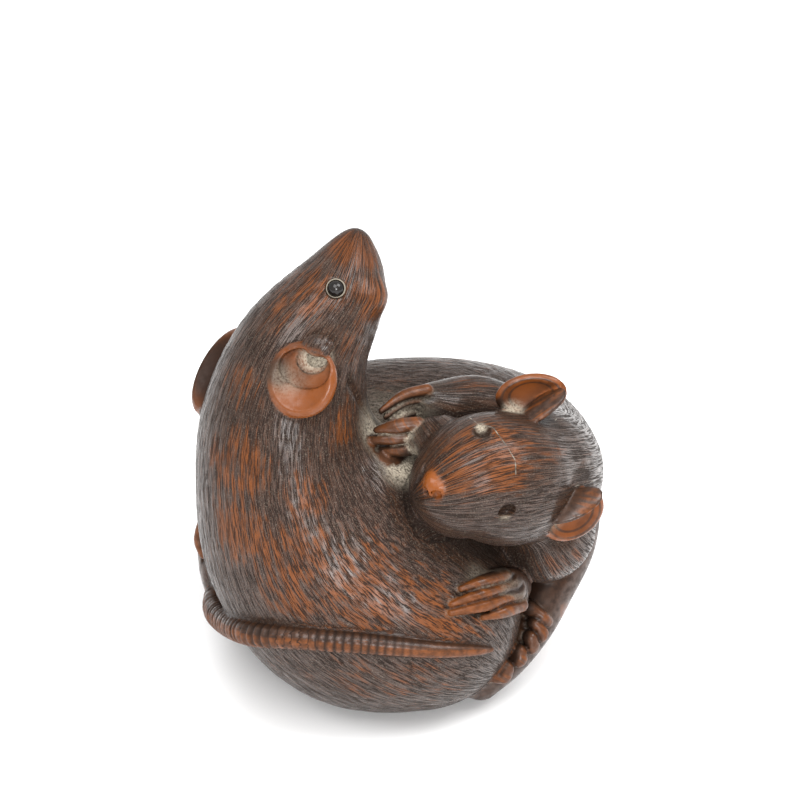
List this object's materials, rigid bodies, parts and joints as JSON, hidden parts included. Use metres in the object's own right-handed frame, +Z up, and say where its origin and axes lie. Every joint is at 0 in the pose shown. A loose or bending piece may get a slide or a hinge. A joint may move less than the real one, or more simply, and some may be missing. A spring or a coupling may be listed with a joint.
{
  "type": "netsuke",
  "caption": "Carved wooden toggle of rats curled together, one upright with inlaid dark eyes, cord holes beneath; it stops a pouch cord slipping from a sash.",
  "frame": {"origin": "on the worn flat of the underside that the carving rests on, just in front of its middle", "axes": "+Z up, through the upright rat's nose end; +X towards the side of the smaller rat's head and shoulder; -Y towards the upright rat's haunch"},
  "size_m": [0.036, 0.0382, 0.0414],
  "materials": {
    "boxwood": "boxwood stained dark brown, engraved with fine fur strokes, worn orange-brown and satin on high places",
    "eye_inlay": "polished black inlay with a thin pale rim"
  },
  "bodies": {
    "root": {"rats_carving": "boxwood", "eye_near": "eye_inlay", "eye_far": "eye_inlay"}
  },
  "joints": []
}
